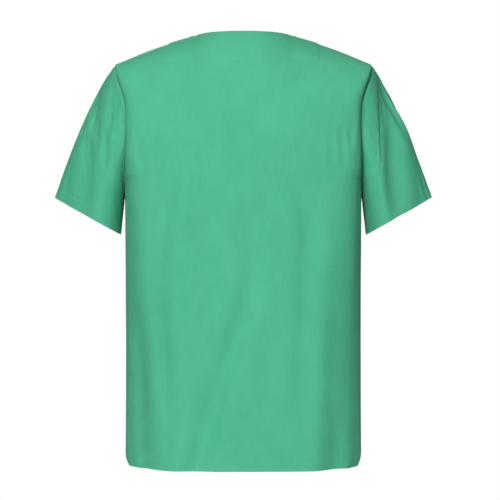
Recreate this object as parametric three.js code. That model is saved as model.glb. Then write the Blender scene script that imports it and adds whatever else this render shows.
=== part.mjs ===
// Slip-over hospital top with a closed back, set-in short sleeves, a faced V neck and three patch
// pockets, shaped as it hangs on a wearer. Every piece of cut cloth is one thin closed solid.
//
// Millimetres. +Z is up, +Y is the wearer's back and +X is the wearer's left side. The origin lies
// midway between the two high points of the shoulders, where the shoulder seams meet the neck.

import * as THREE from 'three';
import { mergeVertices } from 'three/addons/utils/BufferGeometryUtils.js';

// Overall sizes
const bodyLength = 765; // high point of the shoulder down to the hem
const bodyHalfWidth = 210;
const backDepth = 128; // from the side seams back to the shoulder blades
const frontDepth = 122; // from the side seams forward to the chest
const bodyRoundness = 3.2; // exponent of the level section, 2 would be an ellipse

// Shoulders and neck
const neckHalfWidth = 88;
const backNeckRise = 3; // the back neck stands this far above the shoulder points
const frontNeckDrop = 165; // down to the point of the V
const backNeckBow = 0.75; // 0.5 would make the back neck half an ellipse, 1 a parabola
const frontNeckBow = 1;
const shoulderHalfWidth = 228;
const shoulderDrop = 51;
const shoulderCrown = 4; // how far the shoulder line rises above a straight line
const backRounding = 240; // height over which the back reaches its full depth
const backRoundingTop = 40; // height above the origin where that rounding would close

// Armholes
const armholeHeight = 204;
const armholeHalfDepth = 76;
const armholeCut = 22; // how far the armhole cuts in from the shoulder point
const armholeCutDrop = 84; // how far below the shoulder point it is cut in that far

// Sleeves
const sleeveReach = 128; // outer hem corner, outwards from the side of the body
const sleeveDrop = 236; // outer hem corner, downwards from the shoulder point
const sleeveHemSpread = 120; // hem corner to corner, sideways
const sleeveHemFall = 64; // hem corner to corner, downwards
const sleeveHemHalfDepth = 64;
const sleeveCapSwell = 11; // how far the outer line bows out between shoulder and hem

// Cloth and making up
const clothThickness = 1.2;
const seamGap = 0.4; // between two edges that are sewn together
const layerGap = 0.4; // between two layers that lie on each other
const facingGap = 2.2; // between facing and panel, which bend together over the shoulders
const facingSeamGap = 2; // between the two facings, under the shoulder seams
const chestPocketGap = 1.1; // between the breast pocket and the panel that it is sewn on
const lowerPocketGap = 2.1; // the same where the panel turns towards the side
const bodyHemDepth = 22;
const sleeveHemDepth = 22;
const facingWidth = 46;
const hemStep = 1.5; // height over which a turned-up hem ends

// Pockets, labels and hanger loop
const chestPocketFromCentre = 46.2; // nearer edge, from the centre line
const chestPocketFromSide = 58.8; // other edge, from the line of the side seam
const chestPocketTop = 205; // below the high point of the shoulder
const chestPocketHeight = 140;
const lowerPocketFromCentre = 31.5; // nearer edge, from the centre line
const lowerPocketFromSide = 31.5; // other edge, from the line of the side seam
const lowerPocketRise = 75; // bottom edge above the body hem
const lowerPocketHeight = 175;
const pocketCorner = 22; // how far the bottom corners of a pocket are cut off
const pocketHemDepth = 25;
const sizeLabelWidth = 34;
const sizeLabelHeight = 20;
const sizeLabelDrop = 34; // top edge below the back neck
const careLabelWidth = 32;
const careLabelHeight = 52;
const careLabelRise = 120; // bottom edge above the body hem
const careLabelFromSide = 13.4;
const loopSpan = 44;
const loopDrop = 22;
const loopWidth = 7;
const loopStandOff = 8;

// Grid of the panels
const neckColumns = 5; // in each half of the neck opening
const facingColumns = 2; // over the facing, on each shoulder
const shoulderColumns = 6; // along the rest of each shoulder
const yokeRowHeight = 17; // rows between underarm and shoulder
const facingRows = 5;
const yokeCrowding = 1.6; // above 1, the yoke's rows lie closer together near the shoulder
const bodyRows = 9; // between hem and underarm
const sleeveRows = 9;

const armholeInset = shoulderHalfWidth - armholeCut;
const armholeMiddle = -shoulderDrop - armholeHeight / 2;
const underarmHeight = -shoulderDrop - armholeHeight;
const hemHeight = -bodyLength;
const yokeRows = Math.round(armholeHeight / yokeRowHeight);
const neckShare = neckHalfWidth / shoulderHalfWidth;
const mix = THREE.MathUtils.lerp;
const smooth = THREE.MathUtils.smoothstep;

// Depth of the torso, centre back or centre front, at a height.
function centreDepth(side, height) {
  const share = Math.min(1, (backRoundingTop - height) / backRounding);
  const full = side > 0 ? backDepth : frontDepth;
  return full * Math.sqrt(1 - (1 - share) ** 2);
}

// A point of the armhole seam. Turn 0 is the shoulder point and turn PI the underarm.
function armholePoint(side, turn) {
  const height = armholeMiddle + (armholeHeight / 2) * Math.cos(turn);
  const toShoulder = smooth(height, -shoulderDrop - armholeCutDrop, -shoulderDrop);
  const toUnderarm = 1 - smooth(height, underarmHeight, armholeMiddle);
  const out = armholeInset + (shoulderHalfWidth - armholeInset) * toShoulder
    + (bodyHalfWidth - armholeInset) * toUnderarm;
  return new THREE.Vector3(out, side * armholeHalfDepth * Math.sin(turn), height);
}

// The level section of the body, 1 at the centre line and 0 at the side.
function sectionShare(across) {
  return (1 - Math.min(1, Math.abs(across)) ** bodyRoundness) ** (1 / bodyRoundness);
}

// Top edge of a panel: half a neckline, then the shoulder seam.
function topEdge(side, across) {
  const share = Math.abs(across);
  const centre = side > 0 ? backNeckRise : -frontNeckDrop;
  if (share <= neckShare) {
    const part = share / neckShare;
    const bow = side > 0 ? backNeckBow : frontNeckBow;
    const depth = centreDepth(side, centre) * (1 - part ** 2) ** bow;
    const height = side > 0 ? backNeckRise * (1 - part ** 4) : -frontNeckDrop * (1 - part);
    return new THREE.Vector3(across * shoulderHalfWidth, side * depth, height);
  }
  const along = (share - neckShare) / (1 - neckShare);
  const height = -shoulderDrop * along + shoulderCrown * Math.sin(Math.PI * along);
  return new THREE.Vector3(across * shoulderHalfWidth, 0, height);
}

// Yoke of a panel, from the underarm line (rise 0) to its top edge (rise 1).
function yokePoint(side, across, rise) {
  const section = (level) => {
    const edge = armholePoint(side, Math.PI * (1 - level));
    const top = side > 0 ? backNeckRise : -frontNeckDrop;
    const height = mix(underarmHeight, top, level);
    const middle = side * centreDepth(side, height);
    const depth = mix(edge.y, middle, sectionShare(across));
    return new THREE.Vector3(edge.x * across, depth, mix(height, edge.z, across ** 2));
  };
  const point = section(rise);
  const shift = topEdge(side, across).sub(section(1));
  point.x += shift.x * rise ** 2;
  point.y += shift.y * (1 - Math.sqrt(1 - rise ** 4));
  point.z += shift.z * rise ** 2;
  return point;
}

// The whole outer surface of the torso. Side 1 is the back and -1 the front, across runs from
// -1 to 1 and up from 0 at the hem over 1 at the underarm to 2 at the top edge.
function torsoPoint(side, across, up) {
  if (up > 1) {
    return yokePoint(side, across, 1 - (2 - up) ** yokeCrowding);
  }
  const height = mix(hemHeight, underarmHeight, up);
  const depth = side * centreDepth(side, height) * sectionShare(across);
  return new THREE.Vector3(bodyHalfWidth * across, depth, height);
}

function surfaceNormal(surface, across, up, limits) {
  const step = 0.004;
  const left = surface(Math.max(limits[0], across - step), up);
  const right = surface(Math.min(limits[1], across + step), up);
  const below = surface(across, Math.max(limits[2], up - step));
  const above = surface(across, Math.min(limits[3], up + step));
  return right.sub(left).cross(above.sub(below)).normalize();
}

// Bends a flat cut of cloth onto a surface: a thin box whose grid is carried to its place.
// place gives, for 0 to 1 across and up the cut, the two surface values and the two offsets
// of the faces along the surface's normal.
function clothSolid(columns, rows, surface, limits, place) {
  const sheet = new THREE.BoxGeometry(1, 1, 1, columns, rows, 1);
  const spots = sheet.getAttribute('position');
  for (let i = 0; i < spots.count; i++) {
    const cut = place(spots.getX(i) + 0.5, spots.getY(i) + 0.5);
    const offset = spots.getZ(i) > 0 ? cut.outer : cut.inner;
    const point = surface(cut.across, cut.up);
    const normal = surfaceNormal(surface, cut.across, cut.up, limits);
    point.addScaledVector(normal, offset);
    if (cut.nudge) {
      point.add(cut.nudge);
    }
    spots.setXYZ(i, point.x, point.y, point.z);
  }
  sheet.deleteAttribute('normal');
  sheet.deleteAttribute('uv');
  return mergeVertices(sheet, 1e-4);
}

// Sideways places of the panel columns, from the centre line to one side: they follow the neck,
// then the facing's end on the shoulder seam, and lie closer together towards the side.
const facingShare = (neckHalfWidth + facingWidth) / shoulderHalfWidth;
const halfColumns = [];
for (let i = 0; i < neckColumns; i++) {
  halfColumns.push(neckShare * Math.sin((i / neckColumns) * (Math.PI / 2)));
}
for (let i = 0; i < facingColumns; i++) {
  halfColumns.push(mix(neckShare, facingShare, i / facingColumns));
}
for (let i = 0; i <= shoulderColumns; i++) {
  halfColumns.push(mix(facingShare, 1, Math.sin((i / shoulderColumns) * (Math.PI / 2))));
}
const otherHalf = halfColumns.slice(1).reverse().map((place) => -place);
const columnPlaces = [...otherHalf, ...halfColumns];
const panelColumns = columnPlaces.length - 1;

// Rows up the panel: two for the turned-up hem, then even rows to the underarm and to the top.
const torsoHeight = underarmHeight - hemHeight;
const rowPlaces = [0, bodyHemDepth / torsoHeight];
for (let i = 0; i <= bodyRows; i++) {
  rowPlaces.push(mix((bodyHemDepth + hemStep) / torsoHeight, 1, i / bodyRows));
}
for (let i = 1; i <= yokeRows; i++) {
  rowPlaces.push(1 + i / yokeRows);
}
const panelRows = rowPlaces.length - 1;

// The panel as it is made, in flat facets between its columns and rows, so that what is sewn to
// it follows it exactly.
function facetSurface(surface) {
  const points = rowPlaces.map((up) => columnPlaces.map((across) => surface(across, up)));
  const cell = (places, value) => {
    let index = 0;
    while (index < places.length - 2 && places[index + 1] <= value) {
      index++;
    }
    return [index, (value - places[index]) / (places[index + 1] - places[index])];
  };
  return (across, up) => {
    const [column, acrossPart] = cell(columnPlaces, across);
    const [row, upPart] = cell(rowPlaces, up);
    const low = points[row][column].clone().lerp(points[row][column + 1], acrossPart);
    const high = points[row + 1][column].clone().lerp(points[row + 1][column + 1], acrossPart);
    return low.lerp(high, upPart);
  };
}

function makeMesh(name, geometry, finish) {
  const colour = new THREE.Color(finish.colour);
  const surface = { color: colour, roughness: finish.roughness, metalness: 0 };
  const mesh = new THREE.Mesh(geometry, new THREE.MeshStandardMaterial(surface));
  mesh.name = name;
  return mesh;
}

const greenCloth = { colour: 0x57b792, roughness: 0.85 };
const labelTape = { colour: 0xf2f1ec, roughness: 0.7 };
const panelLimits = [-1, 1, 0, 2];
const onBack = (across, up) => torsoPoint(1, -across, up);
const onFront = (across, up) => torsoPoint(-1, across, up);
const againstBack = facetSurface(onBack);
const againstFront = facetSurface(onFront);

// Front or back panel. The hem is turned up inside, which doubles the cloth there.
function makePanel(side) {
  const surface = side > 0 ? onBack : onFront;
  const hemTop = (bodyHemDepth + hemStep / 2) / (underarmHeight - hemHeight);
  const place = (acrossShare, upShare) => {
    const up = rowPlaces[Math.round(upShare * panelRows)];
    return {
      across: columnPlaces[Math.round(acrossShare * panelColumns)],
      up,
      outer: 0,
      inner: up < hemTop ? -2 * clothThickness : -clothThickness,
      nudge: new THREE.Vector3(0, (side * seamGap) / 2, 0),
    };
  };
  return clothSolid(panelColumns, panelRows, surface, panelLimits, place);
}

// The facing is cut to the neck's shape and lies inside the panel, against it.
function makeFacing(side) {
  const surface = side > 0 ? againstBack : againstFront;
  const ends = neckColumns + facingColumns;
  const middleColumn = panelColumns / 2;
  const centreTop = side > 0 ? backNeckRise : -frontNeckDrop;
  const centreShare = facingWidth / (centreTop - underarmHeight);
  const shoulderShare = facingWidth / -underarmHeight;
  const inset = clothThickness + facingGap;
  const place = (acrossShare, upShare) => {
    const across = columnPlaces[middleColumn + Math.round((acrossShare * 2 - 1) * ends)];
    const toShoulder = Math.min(1, Math.abs(across) / neckShare);
    const depth = mix(centreShare, shoulderShare, toShoulder ** 0.5) ** (1 / yokeCrowding);
    return {
      across,
      up: 2 - depth * (1 - upShare),
      outer: -inset,
      inner: -inset - clothThickness,
      nudge: new THREE.Vector3(0, (side * facingSeamGap) / 2, 0),
    };
  };
  return clothSolid(2 * ends, facingRows, surface, panelLimits, place);
}

// Up value at which the front reaches a height, found by halving.
function upAtHeight(surface, across, height) {
  let low = 0;
  let high = 2;
  for (let i = 0; i < 30; i++) {
    const middle = (low + high) / 2;
    if (surface(across, middle).z < height) {
      low = middle;
    } else {
      high = middle;
    }
  }
  return low;
}

// A patch lies on the outside of the front, or inside a panel when its offset is negative.
function makePatch(surface, shape) {
  const place = (acrossShare, upShare) => {
    const rise = upShare * shape.height;
    const cut = Math.max(0, shape.corner - rise);
    const halfWidth = shape.width / 2 - cut / bodyHalfWidth;
    const across = shape.middle + (acrossShare * 2 - 1) * halfWidth;
    const height = shape.top - shape.height + rise;
    const doubled = shape.height - rise < shape.hem + hemStep / 2;
    return {
      across,
      up: upAtHeight(surface, across, height),
      outer: shape.offset + (doubled ? 2 : 1) * clothThickness,
      inner: shape.offset,
    };
  };
  return clothSolid(shape.columns, shape.rows, surface, panelLimits, place);
}

// Sleeve: turn 0 is the fold over the shoulder and PI the underarm seam, along runs from the
// armhole (0) to the hem (1).
// Where the shoulders are narrower than the body the armhole slants, and the sleeve starts further
// out to clear the panels' edges.
const armholeSlant = Math.max(0, bodyHalfWidth - shoulderHalfWidth) / armholeHeight;
const sleeveGap = seamGap + 0.2 + 12 * armholeSlant;
function sleevePoint(turn, along) {
  const side = Math.sin(turn) >= 0 ? 1 : -1;
  const start = armholePoint(side, Math.acos(Math.cos(turn)));
  start.x += sleeveGap;
  const outerX = bodyHalfWidth + sleeveReach;
  const outerZ = -shoulderDrop - sleeveDrop;
  const middleX = outerX - sleeveHemSpread / 2;
  const middleZ = outerZ - sleeveHemFall / 2;
  const end = new THREE.Vector3(
    middleX + (sleeveHemSpread / 2) * Math.cos(turn),
    sleeveHemHalfDepth * Math.sin(turn),
    middleZ + (sleeveHemFall / 2) * Math.cos(turn),
  );
  const point = start.lerp(end, along);
  const swell = sleeveCapSwell * Math.sin(Math.PI * along ** 0.8) * ((1 + Math.cos(turn)) / 2);
  const reach = outerX - shoulderHalfWidth;
  point.x += (swell * sleeveDrop) / Math.hypot(reach, sleeveDrop);
  point.z += (swell * reach) / Math.hypot(reach, sleeveDrop);
  return point;
}

// One sleeve, cut flat and closed along the underarm seam, with its hem turned up inside. Its
// columns meet the rows of the panels along the armhole.
function makeSleeve(hand) {
  const length = Math.hypot(bodyHalfWidth + sleeveReach - shoulderHalfWidth, sleeveDrop);
  const hemStart = 1 - sleeveHemDepth / length;
  const stepStart = hemStart - hemStep / length;
  const slit = seamGap / 2 / sleeveHemHalfDepth;
  const surface = (around, along) => sleevePoint(around, along).multiply(
    new THREE.Vector3(hand, 1, 1),
  );
  const place = (acrossShare, upShare) => {
    const row = Math.round((1 - upShare) * (sleeveRows + 2));
    const even = mix(0, stepStart, row / sleeveRows);
    const along = row <= sleeveRows ? even : mix(hemStart, 1, row - sleeveRows - 1);
    const column = Math.round((acrossShare * 2 - 1) * yokeRows);
    const turn = Math.PI * (Math.abs(column) / yokeRows) ** yokeCrowding;
    const around = hand * Math.sign(column) * Math.min(turn, Math.PI - slit);
    const layers = along > (stepStart + hemStart) / 2 ? 2 : 1;
    return { across: around, up: along, outer: 0, inner: hand * layers * clothThickness };
  };
  const limits = [-Math.PI, Math.PI, 0, 1];
  return clothSolid(2 * yokeRows, sleeveRows + 2, surface, limits, place);
}

// Hanger loop: a narrow tape sewn down at both ends inside the back neck, hanging in a bow.
function makeHangerLoop() {
  const depth = 2 * clothThickness + facingGap;
  const place = (acrossShare, upShare) => {
    const angle = Math.PI * acrossShare;
    const radius = 1 - (upShare * loopWidth) / (loopSpan / 2);
    const across = (-Math.cos(angle) * radius * (loopSpan / 2)) / shoulderHalfWidth;
    const drop = 8 + Math.sin(angle) * (loopDrop - upShare * loopWidth);
    const offset = -depth - loopStandOff * Math.sin(angle);
    return {
      across,
      up: upAtHeight(againstBack, across, backNeckRise - drop),
      outer: offset,
      inner: offset - clothThickness,
    };
  };
  return clothSolid(14, 1, againstBack, panelLimits, place);
}

const chestPocketWidth = bodyHalfWidth - chestPocketFromCentre - chestPocketFromSide;
const chestPocket = {
  width: chestPocketWidth / bodyHalfWidth,
  middle: (chestPocketFromCentre + chestPocketWidth / 2) / bodyHalfWidth,
  top: -chestPocketTop,
  height: chestPocketHeight,
  corner: pocketCorner,
  hem: pocketHemDepth,
  offset: chestPocketGap,
  columns: 18,
  rows: 8,
};
const lowerPocketWidth = bodyHalfWidth - lowerPocketFromCentre - lowerPocketFromSide;
const lowerPocket = {
  ...chestPocket,
  width: lowerPocketWidth / bodyHalfWidth,
  middle: (lowerPocketFromCentre + lowerPocketWidth / 2) / bodyHalfWidth,
  top: hemHeight + lowerPocketRise + lowerPocketHeight,
  height: lowerPocketHeight,
  offset: lowerPocketGap,
  columns: 22,
};
const sizeLabel = {
  ...chestPocket,
  width: sizeLabelWidth / shoulderHalfWidth,
  middle: 0,
  top: backNeckRise - sizeLabelDrop,
  height: sizeLabelHeight,
  corner: 0,
  hem: -hemStep,
  offset: -3 * clothThickness - facingGap,
  columns: 4,
  rows: 3,
};
const careLabel = {
  ...sizeLabel,
  width: careLabelWidth / bodyHalfWidth,
  middle: 1 - (careLabelFromSide + careLabelWidth / 2) / bodyHalfWidth,
  top: hemHeight + careLabelRise + careLabelHeight,
  height: careLabelHeight,
  offset: -2 * clothThickness - layerGap,
};

const top = new THREE.Group();
top.add(makeMesh('back_panel', makePanel(1), greenCloth));
top.add(makeMesh('front_panel', makePanel(-1), greenCloth));
top.add(makeMesh('back_neck_facing', makeFacing(1), greenCloth));
top.add(makeMesh('front_neck_facing', makeFacing(-1), greenCloth));
top.add(makeMesh('left_sleeve', makeSleeve(1), greenCloth));
top.add(makeMesh('right_sleeve', makeSleeve(-1), greenCloth));
top.add(makeMesh('chest_pocket', makePatch(againstFront, chestPocket), greenCloth));
top.add(makeMesh('left_lower_pocket', makePatch(againstFront, lowerPocket), greenCloth));
const mirrored = { ...lowerPocket, middle: -lowerPocket.middle };
top.add(makeMesh('right_lower_pocket', makePatch(againstFront, mirrored), greenCloth));
top.add(makeMesh('hanger_loop', makeHangerLoop(), greenCloth));
top.add(makeMesh('size_label', makePatch(againstBack, sizeLabel), labelTape));
top.add(makeMesh('care_label', makePatch(againstFront, careLabel), labelTape));

export default top;
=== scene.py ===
import math

import bmesh
import bpy
import numpy as np
from mathutils import Matrix, Vector
from mathutils.kdtree import KDTree


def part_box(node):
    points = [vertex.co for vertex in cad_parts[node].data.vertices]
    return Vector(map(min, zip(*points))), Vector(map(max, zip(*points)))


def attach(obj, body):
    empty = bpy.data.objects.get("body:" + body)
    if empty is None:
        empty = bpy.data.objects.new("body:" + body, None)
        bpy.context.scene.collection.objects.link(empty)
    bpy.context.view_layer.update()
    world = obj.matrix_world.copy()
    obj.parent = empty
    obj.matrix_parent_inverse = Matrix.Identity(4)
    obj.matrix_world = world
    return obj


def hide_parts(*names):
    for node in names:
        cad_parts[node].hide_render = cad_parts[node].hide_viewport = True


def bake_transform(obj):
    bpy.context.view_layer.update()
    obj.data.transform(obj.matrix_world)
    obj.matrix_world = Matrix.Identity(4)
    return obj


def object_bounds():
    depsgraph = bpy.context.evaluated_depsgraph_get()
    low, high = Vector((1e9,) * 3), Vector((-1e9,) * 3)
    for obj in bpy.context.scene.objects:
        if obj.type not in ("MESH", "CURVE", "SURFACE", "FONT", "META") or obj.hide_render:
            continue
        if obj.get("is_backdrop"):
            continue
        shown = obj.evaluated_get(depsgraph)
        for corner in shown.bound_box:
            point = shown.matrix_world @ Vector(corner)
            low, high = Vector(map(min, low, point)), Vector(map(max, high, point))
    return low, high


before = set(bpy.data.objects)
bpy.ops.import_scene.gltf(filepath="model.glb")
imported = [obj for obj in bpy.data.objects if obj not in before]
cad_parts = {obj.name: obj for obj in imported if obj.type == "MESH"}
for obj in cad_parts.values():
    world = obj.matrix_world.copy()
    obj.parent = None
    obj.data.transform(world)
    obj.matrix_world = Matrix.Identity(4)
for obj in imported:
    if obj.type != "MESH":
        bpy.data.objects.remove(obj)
cad_low, cad_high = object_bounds()

# --- Camera, floor and lamps -------------------------------------------------------------------
# The top hangs free above a round pale floor, as if on a wearer who isn't there. The camera
# looks at its back, level with its middle. Large soft lamps stand behind, in front and overhead.

hem_height = cad_low.z
view_height = hem_height / 2
camera_distance, camera_aside = 3.5, -0.012
floor_radius, floor_below_hem = 1.05, 0.33
pale_grey = (0.86, 0.86, 0.85, 1)
room_strength = 0.18

camera_data = bpy.data.cameras.new("camera")
camera_data.sensor_width = 36
camera_data.lens = 145.6
camera = bpy.data.objects.new("camera", camera_data)
camera.location = (camera_aside, cad_high.y + camera_distance, view_height)
camera.rotation_euler = (math.radians(90), 0, math.radians(180))
bpy.context.collection.objects.link(camera)
bpy.context.scene.camera = camera
bpy.context.scene.view_settings.view_transform = "Standard"

floor_mesh = bmesh.new()
bmesh.ops.create_circle(floor_mesh, cap_ends=True, segments=96, radius=floor_radius)
bmesh.ops.translate(floor_mesh, verts=floor_mesh.verts, vec=(0, 0, hem_height - floor_below_hem))
floor = bpy.data.objects.new("floor", bpy.data.meshes.new("floor"))
floor_mesh.to_mesh(floor.data)
floor_mesh.free()
bpy.context.collection.objects.link(floor)
floor_paint = bpy.data.materials.new("pale_floor")
floor_paint.use_nodes = True
floor_shader = floor_paint.node_tree.nodes["Principled BSDF"]
floor_shader.inputs["Base Color"].default_value = pale_grey
floor_shader.inputs["Roughness"].default_value = 0.7
floor.data.materials.append(floor_paint)
floor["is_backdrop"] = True

room = bpy.data.worlds.new("room")
room.use_nodes = True
room_light = room.node_tree.nodes["Background"]
room_light.inputs["Color"].default_value = (1, 1, 1, 1)
room_light.inputs["Strength"].default_value = room_strength
room_wall = room.node_tree.nodes.new("ShaderNodeBackground")
room_wall.inputs["Color"].default_value = (1, 1, 1, 1)
seen_directly = room.node_tree.nodes.new("ShaderNodeLightPath")
either = room.node_tree.nodes.new("ShaderNodeMixShader")
room.node_tree.links.new(seen_directly.outputs["Is Camera Ray"], either.inputs[0])
room.node_tree.links.new(room_light.outputs[0], either.inputs[1])
room.node_tree.links.new(room_wall.outputs[0], either.inputs[2])
room.node_tree.links.new(either.outputs[0], room.node_tree.nodes["World Output"].inputs[0])
bpy.context.scene.world = room


def hang_lamp(name, place, size, power):
    """A round soft lamp that faces the middle of the top. Size in metres, power in watts."""
    data = bpy.data.lights.new(name, "AREA")
    data.shape = "DISK"
    data.size = size
    data.energy = power
    lamp = bpy.data.objects.new(name, data)
    lamp.location = place
    lamp.rotation_euler = (Vector((0, 0, view_height)) - Vector(place)).to_track_quat("-Z", "Y").to_euler()
    lamp.visible_camera = False
    bpy.context.collection.objects.link(lamp)


hang_lamp("main_lamp", (0.42, 3.2, 0.65), 1.0, 107)
hang_lamp("front_lamp", (0.6, -3.2, 0.65), 1.0, 96)
hang_lamp("overhead_lamp", (0.2, 0.3, 2.6), 1.6, 17)

# --- The pattern as worn -----------------------------------------------------------------------
# A closed back, a V-necked front and two set-in sleeves. Across runs over a panel from -1 to 1,
# and up from 0 at the hem over 1 at the underarm to 2 at the shoulder and neck. On a sleeve,
# turn 0 lies over the shoulder, and along runs from 0 at the armhole to 1 at the hem.

back_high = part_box("back_panel")[1]
front_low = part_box("front_panel")[0]
sleeve_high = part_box("left_sleeve")[1]

body_half_width = 0.210
shoulder_half_width = back_high.x
shoulder_drop = 0.051
shoulder_crown = 0.004
back_depth = back_high.y
front_depth = -front_low.y
rounding = 0.240
rounding_top = 0.040
neck_half_width = 0.088
back_neck_rise = back_high.z
front_neck_drop = 0.165
armhole_height = 0.204
armhole_half_depth = 0.076
armhole_inset = 0.206
armhole_inset_drop = 0.084
sleeve_reach = sleeve_high.x - shoulder_half_width
sleeve_drop = 0.236
sleeve_hem_spread = 0.120
sleeve_hem_fall = 0.064
sleeve_hem_half_depth = 0.064
sleeve_cap_swell = 0.011
sleeve_peak, sleeve_crease = 0.64, 0.25
row_crowding = 1.6
upper_roundness, lower_roundness = 3.8, 2.8

armhole_middle = -shoulder_drop - armhole_height / 2
underarm_height = -shoulder_drop - armhole_height
neck_share = neck_half_width / shoulder_half_width


def ease(value, start, end):
    """From 0 at start to 1 at end, with no corner at either."""
    share = np.clip((value - start) / (end - start), 0, 1)
    return share * share * (3 - 2 * share)


def between(low, high, share):
    return low + (high - low) * share


def centre_depth(side, height):
    """How far the middle of a panel stands from the shoulder line at a height."""
    share = np.minimum(1, (rounding_top - height) / rounding)
    return (back_depth if side > 0 else front_depth) * np.sqrt(1 - (1 - share) ** 2)


def armhole(side, turn):
    """The armhole's outline: out from the middle, back and up. Turn 0 is the shoulder point."""
    height = armhole_middle + armhole_height / 2 * np.cos(turn)
    to_shoulder = ease(height, -shoulder_drop - armhole_inset_drop, -shoulder_drop)
    to_underarm = 1 - ease(height, underarm_height, armhole_middle)
    out = armhole_inset + (shoulder_half_width - armhole_inset) * to_shoulder
    out = out + (body_half_width - armhole_inset) * to_underarm
    return out, side * armhole_half_depth * np.sin(turn), height


def section_share(across, roundness):
    """The depth of a level section through the body, as a share of its middle's."""
    return (1 - np.minimum(1, np.abs(across)) ** roundness) ** (1 / roundness)


def top_edge(side, across):
    """A panel's upper edge: the neckline, then the shoulder seam."""
    share = np.abs(across)
    part = np.minimum(1, share / neck_share)
    centre = back_neck_rise if side > 0 else -front_neck_drop
    bow = 0.75 if side > 0 else 1.0
    depth = side * centre_depth(side, centre) * np.maximum(0, 1 - part**2) ** bow
    neck_line = back_neck_rise * (1 - part**4) if side > 0 else -front_neck_drop * (1 - part)
    along = (share - neck_share) / (1 - neck_share)
    shoulder_line = -shoulder_drop * along + shoulder_crown * np.sin(np.pi * along)
    height = np.where(share <= neck_share, neck_line, shoulder_line)
    return np.stack([across * shoulder_half_width, depth, height], -1)


def yoke_section(side, across, level):
    """A row between the underarm, level 0, and the shoulder, level 1, before the neck is cut."""
    edge_out, edge_depth, edge_height = armhole(side, np.pi * (1 - level))
    top = back_neck_rise if side > 0 else -front_neck_drop
    height = between(underarm_height, top, level)
    middle = side * centre_depth(side, height)
    depth = between(edge_depth, middle, section_share(across, upper_roundness))
    return np.stack([edge_out * across, depth, between(height, edge_height, across**2)], -1)


def torso_sheet(side, across, up):
    """A panel's shape before it hangs, as rows of points. The pull of the neck's corner on the
    yoke is spread more widely the lower the row lies."""
    fine = np.linspace(-2, 2, 801)
    folded = np.where(np.abs(fine) > 1, np.sign(fine) * (2 - np.abs(fine)), fine)
    mirrored = np.where(np.abs(fine) > 1, -1.0, 1.0)[:, None]
    lift = (top_edge(side, folded) - yoke_section(side, folded, 1.0)) * mirrored
    rows = []
    for value in up:
        if value <= 1:
            height = between(hem_height, underarm_height, value)
            roundness = between(lower_roundness, upper_roundness, ease(value, 0.2, 1.0))
            depth = side * centre_depth(side, height) * section_share(across, roundness)
            rows.append(np.stack([body_half_width * across, depth, height + 0 * across], -1))
            continue
        level = 1 - (2 - value) ** row_crowding
        shift = top_edge(side, across) - yoke_section(side, across, 1.0)
        if level < 0.999:
            width = 0.26 * (1 - level) + 1e-3
            weight = np.exp(-(((across[:, None] - fine) / width) ** 2))
            shift = (weight / weight.sum(1, keepdims=True)) @ lift
        share = np.array([level**2, 1 - math.sqrt(max(0, 1 - level**4)), level**2])
        rows.append(yoke_section(side, across, level) + shift * share)
    return np.array(rows)


def sleeve_sheet(hand, turns, along):
    """A sleeve's shape before it hangs: flat-sided to sleeve_peak of its width, then full."""
    turn, share = np.meshgrid(turns, along)
    side = np.where(np.sin(turn) >= 0, 1, -1)
    out, depth, height = armhole(side, np.arccos(np.clip(np.cos(turn), -1, 1)))
    end_x = sleeve_high.x - sleeve_hem_spread / 2 * (1 - np.cos(turn))
    inward = (1 - np.cos(turn)) / 2
    flat_side = 1 - np.maximum(0, 1 - inward / sleeve_peak) ** 1.15
    flat_side = np.sqrt((flat_side**2 + sleeve_crease * inward / sleeve_peak) / (1 + sleeve_crease))
    past_peak = np.maximum(0, (inward - sleeve_peak) / (1 - sleeve_peak))
    full_side = np.sqrt(np.maximum(0, 1 - past_peak**2))
    end_y = sleeve_hem_half_depth * side * np.where(inward < sleeve_peak, flat_side, full_side)
    end_z = -shoulder_drop - sleeve_drop - sleeve_hem_fall / 2 * (1 - np.cos(turn))
    length = math.hypot(sleeve_reach, sleeve_drop)
    swell = sleeve_cap_swell * np.sin(np.pi * share**0.8) * (1 + np.cos(turn)) / 2
    x = between(out, end_x, share) + swell * sleeve_drop / length
    z = between(height, end_z, share) + swell * sleeve_reach / length
    return np.stack([hand * x, between(depth, end_y, share), z], -1)


def outward_normals(points, outward):
    normal = np.cross(np.gradient(points, axis=1), np.gradient(points, axis=0)) * outward
    return normal / (np.linalg.norm(normal, axis=-1, keepdims=True) + 1e-12)


neck_columns, side_columns = 7, 19
body_rows, yoke_rows, sleeve_rows = 44, 26, 20
fine_share = np.sin(np.linspace(0, np.pi / 2, 2000))
fine_line = np.stack([body_half_width * fine_share, back_depth * section_share(fine_share, 3)], -1)
fine_length = np.append(0, np.cumsum(np.linalg.norm(np.diff(fine_line, axis=0), axis=1)))
neck_length = np.interp(neck_share, fine_share, fine_length)
half_lengths = np.concatenate([np.linspace(0, neck_length, neck_columns + 1)[:-1],
                               np.linspace(neck_length, fine_length[-1], side_columns + 1)])
half_places = np.interp(half_lengths, fine_length, fine_share)
half_places[neck_columns], half_places[-1] = neck_share, 1
across_places = np.append(-half_places[:0:-1], half_places)
across_lengths = np.append(-half_lengths[:0:-1], half_lengths)
up_places = np.append(np.linspace(0, 1, body_rows + 1), 1 + np.linspace(0, 1, yoke_rows + 1)[1:])
half_turns = np.pi * (np.arange(yoke_rows + 1) / yoke_rows) ** row_crowding
turn_places = np.append(-half_turns[:0:-1], half_turns)
along_places = np.linspace(0, 1, sleeve_rows + 1)

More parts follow.
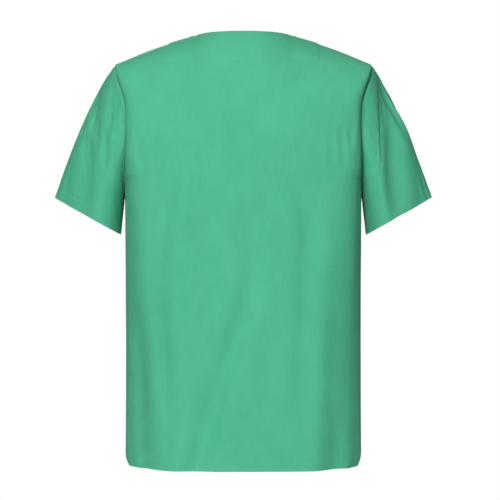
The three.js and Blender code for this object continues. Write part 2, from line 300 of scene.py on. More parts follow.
sheets = {
    "back": torso_sheet(1, across_places, up_places),
    "front": torso_sheet(-1, across_places, up_places),
    "left": sleeve_sheet(1, turn_places, along_places),
    "right": sleeve_sheet(-1, turn_places, along_places),
}
outwards = {"back": -1, "front": 1, "left": -1, "right": 1}
places = {"back": (across_places, up_places), "front": (across_places, up_places),
          "left": (turn_places, along_places), "right": (turn_places, along_places)}

# --- Hanging the sewn shell ----------------------------------------------------------------------
# The cut panels are joined into one limp shell, held at the neck and shoulders, and left to hang
# over a body form that is taken away again. Its drape is what every piece is then laid on.

hang_frames = 24
largest_move = 0.012
form_gap_high, form_gap_low = 0.003, 0.009
least_hold, side_hold = 0.02, 0.25


def join_sheets(parts):
    """The sheets as one mesh, with their seams closed and its faces outwards."""
    joined = bmesh.new()
    for points in parts:
        rows, columns = points.shape[:2]
        new = bmesh.ops.create_grid(joined, x_segments=columns - 1, y_segments=rows - 1, size=0.5)["verts"]
        for vertex in new:
            column = round((vertex.co.x + 0.5) * (columns - 1))
            vertex.co = points[round((vertex.co.y + 0.5) * (rows - 1)), column]
    bmesh.ops.remove_doubles(joined, verts=joined.verts, dist=0.0004)
    bmesh.ops.recalc_face_normals(joined, faces=joined.faces)
    highest = max(joined.verts, key=lambda vertex: vertex.co.y)
    if highest.normal.y < 0:
        bmesh.ops.reverse_faces(joined, faces=joined.faces)
    joined.normal_update()
    return joined


shell_object = bpy.data.objects.new("hanging_shell", bpy.data.meshes.new("hanging_shell"))
shell_mesh = shell_object.data
shell = join_sheets(sheets.values())
shell.to_mesh(shell_mesh)
shell.free()
bpy.context.collection.objects.link(shell_object)

form = join_sheets([sheets["back"], sheets["front"]])
for vertex in form.verts:
    gap = between(form_gap_high, form_gap_low, ease(-vertex.co.z, 0.10, 0.30))
    vertex.co -= vertex.normal * gap
form_object = bpy.data.objects.new("body_form", bpy.data.meshes.new("body_form"))
form.to_mesh(form_object.data)
form.free()
bpy.context.collection.objects.link(form_object)
form_object.modifiers.new("collision", "COLLISION")
form_object.collision.thickness_outer = 0.001
form_object.collision.cloth_friction = 5

rest = np.empty(len(shell_mesh.vertices) * 3)
shell_mesh.vertices.foreach_get("co", rest)
rest = rest.reshape(-1, 3)
held = shell_object.vertex_groups.new(name="held")
hold = np.maximum(ease(rest[:, 2], -0.12, -0.02), least_hold)
hold = np.maximum(hold, side_hold * ease(np.abs(rest[:, 0]), 0.180, 0.208))
for index, weight in enumerate(hold):
    held.add([index], float(weight), "REPLACE")
hanging = shell_object.modifiers.new("hanging", "CLOTH")
hanging.settings.quality = 6
hanging.settings.mass = 0.15
hanging.settings.tension_stiffness = 20
hanging.settings.compression_stiffness = 20
hanging.settings.shear_stiffness = 8
hanging.settings.bending_stiffness = 0.8
hanging.settings.shrink_min = -0.005
hanging.settings.air_damping = 2
hanging.settings.vertex_group_mass = "held"
hanging.settings.pin_stiffness = 1
hanging.collision_settings.distance_min = 0.002
hanging.collision_settings.collision_quality = 2
hanging.point_cache.frame_end = hang_frames
for number in range(1, hang_frames + 1):
    bpy.context.scene.frame_set(number)
drawn = shell_object.evaluated_get(bpy.context.evaluated_depsgraph_get()).to_mesh()
hung = np.empty(len(drawn.vertices) * 3)
drawn.vertices.foreach_get("co", hung)
hung = hung.reshape(-1, 3)
bpy.context.scene.frame_set(1)
bpy.data.objects.remove(shell_object)
bpy.data.objects.remove(form_object)

move = (hung - rest) * (1 - ease(rest[:, 2:], -0.16, -0.04))
far = np.linalg.norm(move, axis=1, keepdims=True)
move *= np.minimum(1, largest_move / np.maximum(far, 1e-9))
spots = KDTree(len(rest))
for index, spot in enumerate(rest):
    spots.insert(spot, index)
spots.balance()
# The facings keep the neckline from sagging, so the move fades out towards it.
near_neck = ease(up_places, 1.4, 2.0)[:, None] * (1 - ease(np.abs(across_places), 0.6, 0.95))
for name, points in sheets.items():
    near = [spots.find(spot)[1] for spot in points.reshape(-1, 3)]
    kept = 1 - near_neck[..., None] if name in ("back", "front") else 1
    sheets[name] = points + move[near].reshape(points.shape) * kept
hem_mean = (sheets["back"][0, :, 2].mean() + sheets["front"][0, :, 2].mean()) / 2
for name in ("back", "front"):
    height = sheets[name][..., 2]
    sheets[name][..., 2] = height + (hem_height - hem_mean) * ease(-height, 0.10, -hem_mean + 0.2)


# --- Folds -------------------------------------------------------------------------------------
# The loose body breaks into a few long soft folds that run down from the shoulder blades and
# the chest. Each is a valley along a line of x and height, with a low swell on both sides.

def fold(points, line, width, depth, starts, ends):
    """Offsets that lay one fold. Starts and ends are the depths below the shoulder, in metres,
    between which it deepens and dies out."""
    line = np.array(line)
    x, height = points[..., 0], points[..., 2]
    middle = np.interp(-height, -line[:, 1], line[:, 0])
    fade = ease(-height, *starts) * (1 - ease(-height, *ends))
    off = (x - middle) / width
    swell = np.exp(-((off + 1.6) ** 2)) + np.exp(-((off - 1.6) ** 2))
    return fade * depth * (0.4 * swell - np.exp(-(off**2)))


back = sheets["back"]
folds = fold(back, [(0.118, -0.19), (0.144, -0.35), (0.149, -0.47), (0.142, -0.58), (0.130, -0.77)],
             0.019, 0.0065, (0.17, 0.33), (0.62, 0.80))
folds += fold(back, [(-0.028, -0.30), (-0.012, -0.45), (0.020, -0.55), (0.046, -0.64), (0.086, -0.77)],
              0.021, 0.0065, (0.26, 0.52), (0.78, 0.95))
folds += fold(back, [(-0.099, -0.25), (-0.115, -0.36), (-0.108, -0.47), (-0.100, -0.77)],
              0.020, 0.0048, (0.22, 0.36), (0.50, 0.80))
folds += fold(back, [(0.06, -0.28), (0.056, -0.5), (0.07, -0.77)], 0.024, 0.0022, (0.2, 0.45), (0.8, 0.9))

# The loose lower sides turn away forwards, more on the wearer's left.
x, height = back[..., 0], back[..., 2]
folds -= 0.025 * ease(x, 0.142, 0.207) * ease(-height, 0.36, 0.62)
folds -= 0.011 * ease(-x, 0.110, 0.200) * ease(-height, 0.36, 0.56)
edge_fade = (1 - np.abs(across_places) ** 10)[None, :]
sheets["back"] = back + outward_normals(back, -1) * (folds * edge_fade)[..., None]

front = sheets["front"]
folds = fold(front, [(0.105, -0.22), (0.118, -0.40), (0.112, -0.60), (0.100, -0.77)],
             0.021, 0.0055, (0.22, 0.42), (0.75, 0.92))
folds += fold(front, [(-0.115, -0.20), (-0.130, -0.38), (-0.120, -0.58), (-0.135, -0.77)],
              0.020, 0.0060, (0.20, 0.38), (0.78, 0.95))
folds += fold(front, [(0.010, -0.30), (-0.012, -0.48), (-0.030, -0.66), (-0.024, -0.77)],
              0.023, 0.0055, (0.26, 0.48), (0.78, 0.95))
sheets["front"] = front + outward_normals(front, 1) * (folds * edge_fade)[..., None]

# The stiffer hem draws in a little at its lower corners.
for name in ("back", "front"):
    x, height = sheets[name][..., 0], sheets[name][..., 2]
    drawn_in = 0.0060 * ease(-height, 0.748, 0.766) * ease(np.abs(x), 0.165, 0.205)
    sheets[name][..., 0] -= np.sign(x) * drawn_in

normals = {name: outward_normals(points, outwards[name]) for name, points in sheets.items()}


def bend_through(values, part):
    """A smooth line through the middle two of four values, which doesn't overshoot at a corner."""
    steps = [values[i + 1] - values[i] for i in range(3)]
    slopes = []
    for first, second in (steps[:2], steps[1:]):
        slope = (first + second) / 2
        least, most = np.minimum(abs(first), abs(second)), np.maximum(abs(first), abs(second))
        limit = 2.5 * least + 0.2 * most
        slopes.append(np.clip(slope, -limit, limit))
    curve = (2 * part**3 - 3 * part**2 + 1) * values[1] + (3 * part**2 - 2 * part**3) * values[2]
    return curve + (part**3 - 2 * part**2 + part) * slopes[0] + (part**3 - part**2) * slopes[1]


def smooth_sample(grid, columns, rows, closed):
    """Smooth in-between values of a grid at fractional columns and rows."""
    height, width = grid.shape[:2]
    column = np.clip(np.floor(columns).astype(int), 0, width - 2)
    row = np.clip(np.floor(rows).astype(int), 0, height - 2)
    before = grid[:, -2:-1] if closed else 2 * grid[:, :1] - grid[:, 1:2]
    after = grid[:, 1:2] if closed else 2 * grid[:, -1:] - grid[:, -2:-1]
    wide = np.concatenate([before, grid, after], 1)
    wide = np.concatenate([2 * wide[:1] - wide[1:2], wide, 2 * wide[-1:] - wide[-2:-1]], 0)
    across_part, up_part = (columns - column)[..., None], (rows - row)[..., None]
    lines = [bend_through([wide[row + j, column + i] for i in range(4)], across_part) for j in range(4)]
    return bend_through(lines, up_part)


def hang(name, across, up):
    """Points on a hung panel or sleeve, and the outward normals there."""
    across, up = np.broadcast_arrays(across, up)
    columns = np.interp(across, places[name][0], np.arange(len(places[name][0])))
    rows = np.interp(up, places[name][1], np.arange(len(places[name][1])))
    closed = name in ("left", "right")
    normal = smooth_sample(normals[name], columns, rows, closed)
    return (smooth_sample(sheets[name], columns, rows, closed),
            normal / np.linalg.norm(normal, axis=-1, keepdims=True))


# --- Green cloth -------------------------------------------------------------------------------
# A plain-woven mix of cotton and polyester, dyed a cool mint green and often washed: matt, a
# little uneven in its threads, faintly mottled, and paler where a seam or fold has rubbed.

class Level:
    """A value that varies over a surface, to reckon with like a number."""

    def __init__(self, finish, socket):
        self.finish, self.socket = finish, socket

    def math(self, operation, *values):
        return self.finish.node("ShaderNodeMath", {"operation": operation}, dict(enumerate(values)))

    def __add__(self, other):
        return self.math("ADD", self, other)

    def __sub__(self, other):
        return self.math("SUBTRACT", self, other)

    def __rsub__(self, other):
        return self.math("SUBTRACT", other, self)

    def __mul__(self, other):
        return self.math("MULTIPLY", self, other)

    __radd__, __rmul__ = __add__, __mul__

    def wave(self, pitch):
        return self.math("SINE", self * (2 * math.pi / pitch))


class Finish:
    """A material and the nodes that make it."""

    def __init__(self, name):
        self.material = bpy.data.materials.new(name)
        self.material.use_nodes = True
        self.tree = self.material.node_tree
        self.shader = self.tree.nodes["Principled BSDF"]

    def feed(self, socket, value):
        if isinstance(value, Level):
            self.tree.links.new(value.socket, socket)
        else:
            socket.default_value = value

    def node(self, kind, settings=(), inputs=(), output=0):
        made = self.tree.nodes.new(kind)
        for key, value in dict(settings).items():
            setattr(made, key, value)
        for key, value in dict(inputs).items():
            self.feed(made.inputs[key], value)
        return Level(self, made.outputs[output])

    def speckle(self, place, across, up, detail=2.0):
        """Noise whose spots are that wide and high, in metres."""
        shares = (1 / across, 1 / up, 1 / up)
        scaled = self.node("ShaderNodeMapping", inputs={"Vector": place, "Scale": shares})
        return self.node("ShaderNodeTexNoise", inputs={"Vector": scaled, "Scale": 1.0, "Detail": detail})

    def blend(self, amount, first, second):
        inputs = {0: amount, 6: first, 7: second}
        return self.node("ShaderNodeMix", {"data_type": "RGBA", "clamp_factor": True}, inputs, 2)

    def set(self, **inputs):
        for name, value in inputs.items():
            self.feed(self.shader.inputs[name.replace("_", " ")], value)

    def relief(self, *layers):
        """Bump layers, each a height from 0 to 1 and its depth in metres."""
        normal = None
        for height, depth in layers:
            inputs = {"Height": height, "Distance": depth, "Strength": 1.0}
            if normal:
                inputs["Normal"] = normal
            normal = self.node("ShaderNodeBump", {}, inputs)
        self.feed(self.shader.inputs["Normal"], normal)


def weave_finish(name, deep, plain, pale, pitch, sheen):
    """Cloth measured along its threads: slubs and mottling tint it, and worn edges are paler."""
    finish = Finish(name)
    place = finish.node("ShaderNodeUVMap", {"uv_map": "weave"})
    across = finish.node("ShaderNodeSeparateXYZ", {}, {0: place}, 0)
    up = finish.node("ShaderNodeSeparateXYZ", {}, {0: place}, 1)
    worn = finish.node("ShaderNodeAttribute", {"attribute_name": "worn"}, (), 2)
    threads = across.wave(pitch) * up.wave(pitch) * 0.5 + 0.5
    warp_slubs = finish.speckle(place, 0.0011, 0.030)
    weft_slubs = finish.speckle(place, 0.024, 0.0011)
    mottle = finish.speckle(place, 0.035, 0.055, 3.0)
    patches = finish.speckle(place, 0.16, 0.22, 2.0)
    creases = finish.speckle(place, 0.030, 0.070, 3.0)
    tone = warp_slubs * 0.55 + weft_slubs * 0.45 + mottle * 0.5 + patches * 0.5 + threads * 0.12 - 0.56
    cloth_colour = finish.blend(tone, deep, plain)
    rubbed = worn * (0.35 + 0.5 * finish.speckle(place, 0.004, 0.006))
    finish.set(Base_Color=finish.blend(rubbed * 0.32, cloth_colour, pale))
    finish.set(Roughness=0.76 + mottle * 0.12 + threads * 0.05)
    finish.set(Sheen_Weight=sheen, Sheen_Roughness=0.45, Specular_IOR_Level=0.3)
    finish.shader.inputs["Sheen Tint"].default_value = (0.5, 1.0, 0.75, 1)
    slubs = warp_slubs * 0.5 + weft_slubs * 0.5
    finish.relief((creases, 0.0016), (slubs, 0.00022), (threads, 0.00006))
    return finish.material


deep_green = (0.044, 0.345, 0.195, 1)
plain_green = (0.082, 0.450, 0.264, 1)
pale_green = (0.165, 0.540, 0.350, 1)
thread_pitch = 0.0007
cloth_thickness = 0.00045
green_cloth = weave_finish("green_cloth", deep_green, plain_green, pale_green, thread_pitch, 0.05)


def lay_cloth(name, points, worn, finish, thickness=cloth_thickness):
    """A cut of cloth: a flat grid carried to its place, its weave measured along it in metres."""
    rows, columns = points.shape[:2]
    cut = bmesh.new()
    bmesh.ops.create_grid(cut, x_segments=columns - 1, y_segments=rows - 1, size=0.5)
    weave = cut.loops.layers.uv.new("weave")
    wear = cut.verts.layers.float.new("worn")
    lengths = np.stack([run(points, 1), run(points, 0)], -1)
    lengths[..., 0] -= lengths[:, columns // 2, None, 0]
    for vertex in cut.verts:
        column = round((vertex.co.x + 0.5) * (columns - 1))
        row = round((vertex.co.y + 0.5) * (rows - 1))
        vertex.co = points[row, column]
        vertex[wear] = worn[row, column]
        for loop in vertex.link_loops:
            loop[weave].uv = lengths[row, column]
    mesh = bpy.data.meshes.new(name)
    cut.to_mesh(mesh)
    cut.free()
    mesh.shade_smooth()
    mesh.materials.append(finish)
    piece = bpy.data.objects.new(name, mesh)
    bpy.context.collection.objects.link(piece)
    layer = piece.modifiers.new("thickness", "SOLIDIFY")
    layer.thickness = thickness
    return piece


def run(points, axis):
    """Distance along a grid of points, from its first row or column."""
    steps = np.linalg.norm(np.diff(points, axis=axis), axis=-1)
    zero = np.zeros_like(np.take(points[..., 0], [0], axis))
    return np.cumsum(np.concatenate([zero, steps], axis), axis)


def groove(distance, depth, width):
    """A shallow furrow along a line of stitching or a seam."""
    return -depth * np.exp(-((distance / width) ** 2))


def puckers(along):
    """The small uneven gathers that a row of stitching draws into thin cloth."""
    waves = ((0.0113, 1.3, 0.5), (0.0074, 4.0, 0.35), (0.0190, 2.2, 0.45), (0.0310, 0.4, 0.3))
    height = sum(size * np.sin(2 * np.pi * along / length + start) for length, start, size in waves)
    return height * (0.65 + 0.35 * np.sin(2 * np.pi * along / 0.173 + 0.9))


# --- Back and front panels ---------------------------------------------------------------------
# Each panel is one cut of cloth. Its lower edge is turned up inside and stitched down, which
# puckers it a little, and its seams sink in slightly where two edges are sewn together.

hem_depth = 0.022
hem_stitch = 0.0195
facing_width = 0.046
facing_share = (neck_half_width + facing_width) / shoulder_half_width
hem_layer = 0.0013
hem_rows = 12
fold_angles = np.linspace(0, np.pi, 6)[1:-1]
seam_groove, seam_width = 0.0008, 0.0014
facing_ridge = 0.0016
pucker_height = 0.0003


def facing_edge(side, across):
    """The up value of the facing's lower edge."""
    centre = facing_width / ((back_neck_rise if side > 0 else -front_neck_drop) - underarm_height)
    shoulder = facing_width / -underarm_height
    to_shoulder = np.minimum(1, np.abs(across) / neck_share)
    return 2 - between(centre, shoulder, to_shoulder**0.5) ** (1 / row_crowding)


def turned_hem(outer, normal, downwards):
    """Adds the layer that is folded up inside a lower edge to a grid whose first row is the fold."""
    inner = (outer - normal * hem_layer)[:hem_rows][::-1]
    bend = [outer[0] - normal[0] * hem_layer * (1 + math.cos(angle)) / 2
            + downwards * hem_layer / 2 * math.sin(angle) for angle in fold_angles]
    return np.concatenate([inner, bend, outer])


def hem_wear(worn):
    """The wear of a turned hem: none on the layer inside, and the most on the fold."""
    columns = worn.shape[1]
    return np.concatenate([np.zeros((hem_rows, columns)), np.ones((len(fold_angles), columns)), worn])


half_length = across_lengths[-1]
edge_steps = np.array([0, 0.0006, 0.0013, 0.0022])
inner_steps = np.linspace(0.0045 - half_length, half_length - 0.0045, 228)
length_steps = np.concatenate([edge_steps - half_length, inner_steps, half_length - edge_steps[::-1]])
panel_across = np.interp(length_steps, across_lengths, across_places)
panel_across[0], panel_across[-1] = -1, 1
torso_height = underarm_height - hem_height
hem_heights = np.array([0, 1.5, 4, 7, 10, 13, 16, 18, 19, 19.8, 20.8, 22, 24, 27]) / 1000
hem_steps = hem_heights / torso_height
panel_up = np.concatenate([hem_steps, np.linspace(hem_steps[-1], 1, 84)[1:],
                           1 + np.linspace(0, 1, 50)[1:]])

for name, node, side in (("back", "back_panel", 1), ("front", "front_panel", -1)):
    across = panel_across[::-side][None, :]
    points, normal = hang(name, across, panel_up[:, None])
    sideways, upwards = run(points, 1), run(points, 0)
    from_side = np.minimum(sideways, sideways[:, -1:] - sideways)
    from_top = upwards[-1:] - upwards
    edge_up = facing_edge(side, across)
    over_facing = ease(panel_up[:, None] - edge_up, -0.010, 0.014)
    over_facing = over_facing * ease(facing_share - np.abs(across), -0.006, 0.010)
    near_hem = ease(upwards, 0.002, 0.016) * (1 - ease(upwards, 0.021, 0.038))
    offset = groove(from_side, seam_groove, seam_width) + groove(from_top, seam_groove, seam_width)
    offset += groove(upwards - hem_stitch, 0.0004, 0.0012) + 0.0003 * (1 - ease(upwards, 0.019, hem_depth))
    offset += pucker_height * puckers(sideways + 0.4 * side) * near_hem * ease(from_side, 0.0, 0.01)
    offset += facing_ridge * over_facing
    points = points + normal * offset[..., None]
    worn = np.exp(-from_side / 0.002) + np.exp(-upwards / 0.0015) + 0.7 * np.exp(-from_top / 0.002)
    hemmed = turned_hem(points, normal, np.array([0, 0, -1]))
    panel = lay_cloth(name + "_cloth", hemmed, hem_wear(worn), green_cloth)
    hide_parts(node)
    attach(panel, "torso")

# --- Stitching ---------------------------------------------------------------------------------
# Green thread, a shade lighter than the cloth, in short even stitches that sink into it.

stitch_pitch = 0.0028
stitch_length = 0.0021
stitch_radius = 0.00022

thread = Finish("green_thread")
thread_place = thread.node("ShaderNodeTexCoord", output=3)
thread_tone = thread.speckle(thread_place, 0.006, 0.006)
deep_thread, pale_thread = (0.045, 0.37, 0.22, 1), (0.10, 0.52, 0.33, 1)
thread.set(Base_Color=thread.blend(thread_tone, deep_thread, pale_thread))
thread.set(Roughness=0.5 + 0.2 * thread_tone, Sheen_Weight=0.3)
thread.relief((thread.speckle(thread_place, 0.0003, 0.0003), 0.00005))


def sew(name, *seams, pitch=stitch_pitch, length=stitch_length):
    """Stitches along lines of points, each with its outward normals."""
    stitching = bmesh.new()
    for points, normal in seams:
        distance = run(points[None], 1)[0]
        count = int(distance[-1] / pitch)
        for spot in (np.arange(count) + 0.5) * pitch:
            here = Vector([np.interp(spot, distance, points[:, i]) for i in range(3)])
            ahead = Vector([np.interp(spot + pitch / 2, distance, points[:, i]) for i in range(3)])
            out = Vector([np.interp(spot, distance, normal[:, i]) for i in range(3)]).normalized()
            along = (ahead - here).normalized()
            beside = out.cross(along).normalized()
            axes = (along * length / 2, beside * stitch_radius, out * stitch_radius)
            turn = Matrix(axes).transposed().to_4x4()
            turn.translation = here + out * stitch_radius * 0.3
            bmesh.ops.create_icosphere(stitching, subdivisions=1, radius=1.0, matrix=turn)
    mesh = bpy.data.meshes.new(name)
    bmesh.ops.recalc_face_normals(stitching, faces=stitching.faces)
    stitching.to_mesh(mesh)
    stitching.free()
    mesh.shade_smooth()
    mesh.materials.append(thread.material)
    row = bpy.data.objects.new(name, mesh)
    bpy.context.collection.objects.link(row)
    return row


def panel_line(name, across, up, offset):
    """A line on a hung panel for a row of stitches, raised by offset."""
    points, normal = hang(name, across, up)
    return points + normal * offset, normal


def below_top(name, across, distance):
    """The up value at a distance below a panel's top edge."""
    steps = 2 - np.linspace(0, 1, 300) ** 1.6
    depth = run(hang(name, across[None, :], steps[:, None])[0], 0)
    return np.array([np.interp(distance, depth[:, i], steps) for i in range(len(across))])


hem_across = np.linspace(-0.999, 0.999, 500)
hem_up = hem_stitch / torso_height
hem_row = sew("body_hem_stitches", *[panel_line(name, hem_across, hem_up, -0.0001)
                                     for name in ("back", "front")])
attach(hem_row, "torso")

neck_across = np.linspace(-neck_share, neck_share, 240)
neck_lines = [panel_line(name, neck_across, below_top(name, neck_across, 0.006), 0.0008)
              for name in ("back", "front")]
neck_row = sew("neck_stitches", *neck_lines)
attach(neck_row, "torso")

# --- Sleeves -----------------------------------------------------------------------------------
# A short sleeve is one cut, closed along the underarm and set into the armhole, where its head
# stands a little proud of the seam. Its hem is turned up inside and stitched like the body's.

sleeve_length = math.hypot(sleeve_reach, sleeve_drop)
sleeve_folds = {
    "left": [([(0.258, -0.10), (0.2625, -0.135), (0.270, -0.188), (0.279, -0.241), (0.279, -0.31)],
              0.013, 0.0030, (0.07, 0.13), (0.26, 0.36)),
             ([(0.226, -0.12), (0.240, -0.18), (0.247, -0.24)], 0.008, 0.0018, (0.10, 0.16), (0.21, 0.28))],
    "right": [([(-0.246, -0.06), (-0.258, -0.11), (-0.262, -0.17), (-0.266, -0.24), (-0.270, -0.31)],
               0.017, 0.0080, (0.05, 0.11), (0.26, 0.38)),
              ([(-0.232, -0.15), (-0.230, -0.22), (-0.238, -0.31)],
               0.008, 0.0014, (0.13, 0.20), (0.27, 0.34))],
}
hem_share = hem_heights[::-1] / sleeve_length
seam_share = np.append(edge_steps, 0.004) / sleeve_length
middle_share = np.linspace(seam_share[-1], 1 - hem_share[0], 62)[1:-1]
sleeve_along = np.concatenate([seam_share, middle_share, 1 - hem_share])[::-1]
around = np.linspace(-1, 1, 170)
seam_gap = 0.0004
sleeve_pucker = 0.00028


def sleeve_surface(name, turns, along):
    """A sleeve with its small folds, and with the armhole seam's groove and the head's swell."""
    points, normal = hang(name, turns, along)
    folds = sum(fold(points, *values) for values in sleeve_folds[name])
    shade = np.where(np.sin(turns) > 0, 1, 0.7) * np.minimum(1, np.abs(np.sin(turns)) / 0.35)
    from_seam = along * sleeve_length
    offset = folds * shade + groove(from_seam, seam_groove, seam_width)
    offset = offset + 0.0010 * np.exp(-(((from_seam - 0.006) / 0.004) ** 2)) * (0.5 + 0.5 * np.cos(turns))
    return points + normal * offset[..., None], normal


def set_in(piece, name):
    """Bakes a piece's placement into its mesh."""
    name + "_sleeve"
    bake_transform(piece)


for name, hand in (("left", 1), ("right", -1)):
    turns = around[None, :] * np.pi * hand
    points, normal = sleeve_surface(name, turns, sleeve_along[:, None])
    points = points + np.array([hand * seam_gap, 0, 0])
    sideways, upwards = run(points, 1), run(points, 0)
    near_hem = ease(upwards, 0.002, 0.014) * (1 - ease(upwards, 0.021, 0.034))
    offset = groove(upwards - hem_stitch, 0.0004, 0.0012)
    offset = offset + sleeve_pucker * puckers(sideways + hand) * near_hem
    points = points + normal * offset[..., None]
    worn = np.exp(-upwards / 0.0015) + 0.8 * np.exp(-(upwards[-1:] - upwards) / 0.002)
    downwards = np.array([hand * sleeve_reach, 0, -sleeve_drop]) / sleeve_length
    hemmed = turned_hem(points, normal, downwards)
    sleeve = lay_cloth(name + "_sleeve_cloth", hemmed, hem_wear(worn), green_cloth)
    line, out = sleeve_surface(name, np.linspace(-0.999, 0.999, 300) * np.pi * hand,
                               np.full(300, 1 - hem_stitch / sleeve_length))
    sleeve_row = sew(name + "_sleeve_hem_stitches", (line + out * -0.0001, out))
    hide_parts(name + "_sleeve")
    for piece in (sleeve, sleeve_row):
        set_in(piece, name)

# --- Seam allowances ---------------------------------------------------------------------------
# Behind every seam the two raw edges are overcast together and pressed to one side. They show
# inside the neck, the hem and the sleeves, and close the seams from within.

allowance = 0.010
beyond = 0.003
allowance_sunk = 0.0010


def from_side_seam(distance):
    """The across value at a distance from a panel's side seam."""
    return np.interp(half_length - distance, across_lengths, across_places)


def press_open(name, first, second, reverse):
    """A strip along a seam, from a little beyond it on one cut to the full width on the other."""
    points, normal = (np.concatenate(both) for both in zip(first, second))
    points = points - normal * allowance_sunk
    if reverse:
        points = points[:, ::-1]
    strip = lay_cloth(name, points, np.zeros(points.shape[:2]), green_cloth, 0.0007)
    return strip


seam_up = 1 + np.linspace(0.0, 1, 90)
for name, hand in (("left", 1), ("right", -1)):
    for panel, side in (("back", 1), ("front", -1)):
        into_panel = hand * from_side_seam(np.array([beyond, beyond / 2, 0.0006]))[:, None]
        into_sleeve = np.array([0.0006, 0.002, 0.005, allowance])[:, None] / sleeve_length
        turns = side * np.pi * (2 - seam_up[None, :]) ** row_crowding
        strip = press_open(f"{name}_{panel}_armhole_allowance", hang(panel, into_panel, seam_up[None, :]),
                           hang(name, turns, into_sleeve), hand * side < 0)
        set_in(strip, name)
    rows = np.linspace(hem_depth / torso_height, 1, 120)[None, :]
    near = hand * from_side_seam(np.array([beyond, beyond / 2, 0.0]))[:, None]
    far = hand * from_side_seam(np.array([0.0, 0.002, 0.005, allowance]))[:, None]
    strip = press_open(name + "_side_allowance", hang("front", near, rows), hang("back", far, rows),
                       hand < 0)
    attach(strip, "torso")
    shoulder = hand * np.linspace(neck_share + 0.01, 0.995, 60)[None, :]
    near = np.stack([below_top("front", shoulder[0], drop) for drop in (beyond, beyond / 2, 0.0002)])
    far = np.stack([below_top("back", shoulder[0], drop) for drop in (0.0002, 0.003, 0.006, allowance)])
    strip = press_open(name + "_shoulder_allowance", hang("front", shoulder, near),
                       hang("back", shoulder, far), hand > 0)
    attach(strip, "torso")

# --- Neck facings ------------------------------------------------------------------------------
# A shaped band of the same cloth lies inside the neck, front and back, so that the neckline is
# finished without binding. Its free edge is overcast and shows faintly through the back.

facing_sunk = 0.0011
for name, node, side in (("back", "back_neck_facing", 1), ("front", "front_neck_facing", -1)):
    across = np.linspace(facing_share, -facing_share, 110)[None, :] * side
    edge_up = facing_edge(side, across)
    rise = np.linspace(0, 1, 26)[:, None] ** 0.8
    up = edge_up + (2 - edge_up) * rise
    points, normal = hang(name, across, up)
    free = 1 - ease(rise, 0.0, 0.35)
    curl = 0.0012 * free * (1 + np.sin(across * 21 + side)) / 2
    roll = 0.0007 * ease(rise, 0.93, 1.0)
    points = points - normal * (facing_sunk + curl - roll)[..., None]
    worn = 0.6 * ease(rise, 0.9, 1.0) + 0 * across
    facing = lay_cloth(name + "_facing_cloth", points, worn, green_cloth)
    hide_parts(node)
    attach(facing, "torso")
    name + "_cloth"
    edge_line = points[1] - normal[1] * 0.0005
    overcast = sew(name + "_facing_stitches", (edge_line, -normal[1]), pitch=0.0022)
    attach(overcast, "torso")

# --- Patch pockets -----------------------------------------------------------------------------
# One breast pocket on the wearer's left and two large ones below, sewn on flat along the sides
# and the clipped lower corners. The mouth is hemmed and stands a little off the front.

pocket_corner = 0.022
pocket_hem = 0.025
pocket_layer = 0.0011
mouth_stitch = 0.022
mouth_edge = np.array([25, 23, 22, 21, 19, 15, 10, 5, 2, 0.8, 0]) / 1000
lower_edge = np.array([0, 0.001, 0.0022, 0.004])

# Each pocket's edge nearest -X, its width, the height of its top, and how tall it is.
pockets = {
    "chest_pocket": (0.0462, 0.105, -0.205, 0.140),
    "left_lower_pocket": (0.0315, 0.147, hem_height + 0.250, 0.175),
    "right_lower_pocket": (-0.1785, 0.147, hem_height + 0.250, 0.175),
}


def panel_at(name, across, height):
    """Points and normals of a hung panel at a place across it and a height."""
    across, height = np.broadcast_arrays(across, height)
    columns, steps = np.linspace(-1, 1, 181), np.linspace(0, 2, 400)
    heights = hang(name, columns[None, :], steps[:, None])[0][..., 2]
    spot = (across + 1) * 90
    first = np.clip(spot.astype(int), 0, 179)
    up = np.zeros(across.shape)
    for column in np.unique(first):
        here = first == column
        low = np.interp(height[here], heights[:, column], steps)
        high = np.interp(height[here], heights[:, column + 1], steps)
        up[here] = low + (high - low) * (spot[here] - column)
    return hang(name, across, up)


def pocket_place(values, share, rise):
    """Where a place on a pocket lies: share from -1 to 1 across it, rise above its lower edge."""
    inner, width, top, height = values
    half = width / 2 - np.maximum(0, pocket_corner - rise)
    from_edge = np.minimum(half * (1 - np.abs(share)), rise)
    gape = 0.0042 * (1 - share**2) ** 2 * ease(rise, height * 0.45, height) ** 1.5
    hem_room = 0.0013 * ease(rise, height - pocket_hem - 0.012, height - pocket_hem)
    offset = 0.0006 + 0.0007 * ease(from_edge, 0.0, 0.004) + hem_room + gape
    gathered = 0.0004 * puckers(share * half + rise) * np.exp(-from_edge / 0.006)
    offset = offset + gathered * ease(from_edge, 0, 0.002)
    return inner + width / 2 + share * half, top - height + rise, offset


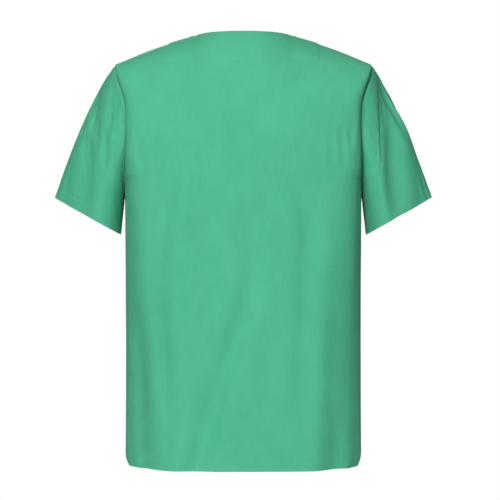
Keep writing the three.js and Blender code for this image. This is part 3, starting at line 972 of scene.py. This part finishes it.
for node, values in pockets.items():
    inner, width, top, height = values
    columns = np.sin(np.linspace(-0.5, 0.5, 57) * np.pi * 0.97) / np.sin(0.485 * np.pi)
    rises = np.concatenate([lower_edge, np.linspace(0.007, height - 0.028, 34), height - mouth_edge])
    share, rise = np.meshgrid(columns, rises)
    x, z, offset = pocket_place(values, share, rise)
    offset = offset + groove(rise - (height - mouth_stitch), 0.0003, 0.0012)
    surface, normal = panel_at("front", x / body_half_width, z)
    points = surface + normal * offset[..., None]
    from_edge = np.minimum(rise, (width / 2) * (1 - np.abs(share)))
    worn = np.exp(-from_edge / 0.0015) + np.exp(-(height - rise) / 0.0012)
    inside = (points - normal * pocket_layer)[-len(mouth_edge):][::-1]
    bend = [points[-1] - normal[-1] * pocket_layer / 2 * (1 - math.cos(angle))
            + np.array([0, 0, pocket_layer / 2 * math.sin(angle)]) for angle in fold_angles]
    points = np.concatenate([points, bend, inside])
    worn = np.concatenate([worn, np.ones((len(bend), len(columns))), np.zeros(inside.shape[:2])])
    pocket = lay_cloth(node + "_cloth", points, worn, green_cloth)
    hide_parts(node)
    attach(pocket, "torso")
    cut_width = run(surface, 1)[10, -1]
    height + pocket_hem
    lines = []
    for inset in (0.002, 0.0075):
        low, high = pocket_corner + inset * 0.4, height - 0.001
        half = width / 2 - inset
        corner = half - pocket_corner + inset * 0.6
        route = np.array([(-half, high), (-half, low), (-corner, inset),
                          (corner, inset), (half, low), (half, high)])
        steps = run(route[None], 1)[0]
        spots = np.linspace(0, steps[-1], 260)
        aside, rise = (np.interp(spots, steps, route[:, i]) for i in range(2))
        half_there = width / 2 - np.maximum(0, pocket_corner - rise)
        x, z, offset = pocket_place(values, np.clip(aside / half_there, -1, 1), rise)
        line, out = panel_at("front", x / body_half_width, z)
        lines.append((line + out * offset[..., None], out))
    share = np.linspace(-0.97, 0.97, 120)
    x, z, offset = pocket_place(values, share, np.full(120, height - mouth_stitch))
    line, out = panel_at("front", x / body_half_width, z)
    lines.append((line + out * (offset - 0.0002)[..., None], out))
    seam = sew(node + "_stitches", *lines)
    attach(seam, "torso")

# --- Hanger loop and labels ----------------------------------------------------------------------
# A narrow folded tape of the same cloth hangs in a bow inside the back neck. Below it sits a small
# blank size label, and a blank care label is caught in the left side seam. Both are white tape.

behind_facing = 0.0024
loop_span, loop_drop, loop_width, loop_stand = 0.044, 0.022, 0.007, 0.008
angle, width_share = np.meshgrid(np.linspace(0, np.pi, 48), np.linspace(1, 0, 7))
radius = 1 - width_share * loop_width / (loop_span / 2)
x = np.cos(angle) * radius * loop_span / 2
drop = 0.008 + np.sin(angle) * (loop_drop - width_share * loop_width)
points, normal = panel_at("back", x / shoulder_half_width, back_neck_rise - drop)
inset = behind_facing + (0.0016 + loop_stand) * np.sin(angle)
inset = inset + 0.0005 * np.cos(np.pi * (width_share - 0.5))
points = points - normal * inset[..., None]
worn = np.exp(-np.minimum(width_share, 1 - width_share) / 0.12)
loop = lay_cloth("hanger_loop_tape", points, worn, green_cloth, 0.0010)
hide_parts("hanger_loop")
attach(loop, "torso")

tape = Finish("label_tape")
tape_place = tape.node("ShaderNodeUVMap", {"uv_map": "weave"})
tape_up = tape.node("ShaderNodeSeparateXYZ", {}, {0: tape_place}, 1)
ribs = tape_up.wave(0.0006) * 0.5 + 0.5
tape_mottle = tape.speckle(tape_place, 0.006, 0.004)
grey_white, clear_white = (0.70, 0.69, 0.65, 1), (0.88, 0.87, 0.84, 1)
tape.set(Base_Color=tape.blend(tape_mottle * 0.6 + ribs * 0.3, grey_white, clear_white))
tape.set(Roughness=0.45 + 0.15 * tape_mottle, Sheen_Weight=0.2)
tape.relief((tape_mottle, 0.0003), (ribs, 0.00006))

across, down = np.meshgrid(np.linspace(1, -1, 25), np.linspace(1, 0, 16))
points, normal = panel_at("back", across * 0.017 / shoulder_half_width, back_neck_rise - 0.034 - down * 0.020)
inset = behind_facing + 0.0008 * down**2 * (1 + 0.6 * np.cos(across * 2.2))
size_label = lay_cloth("size_label_tape", points - normal * inset[..., None], 0 * down, tape.material, 0.0003)
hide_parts("size_label")

label_across = (0.1806 - across * 0.016) / body_half_width
points, normal = panel_at("front", label_across, hem_height + 0.172 - down * 0.052)
inset = 0.0012 + 0.0022 * down**1.5 * (1 + 0.5 * np.sin(across * 2 + 1))
care_label = lay_cloth("care_label_tape", points - normal * inset[..., None], 0 * down, tape.material, 0.0003)
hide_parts("care_label")
for label, cut, behind in ((size_label, (0.034, 0.022), "back_facing_cloth"),
                           (care_label, (0.044, 0.052), "front_cloth")):
    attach(label, "torso")

# --- Sizes -------------------------------------------------------------------------------------
# The box of the cut patterns and the box of the finished top, in metres.

low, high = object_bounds()
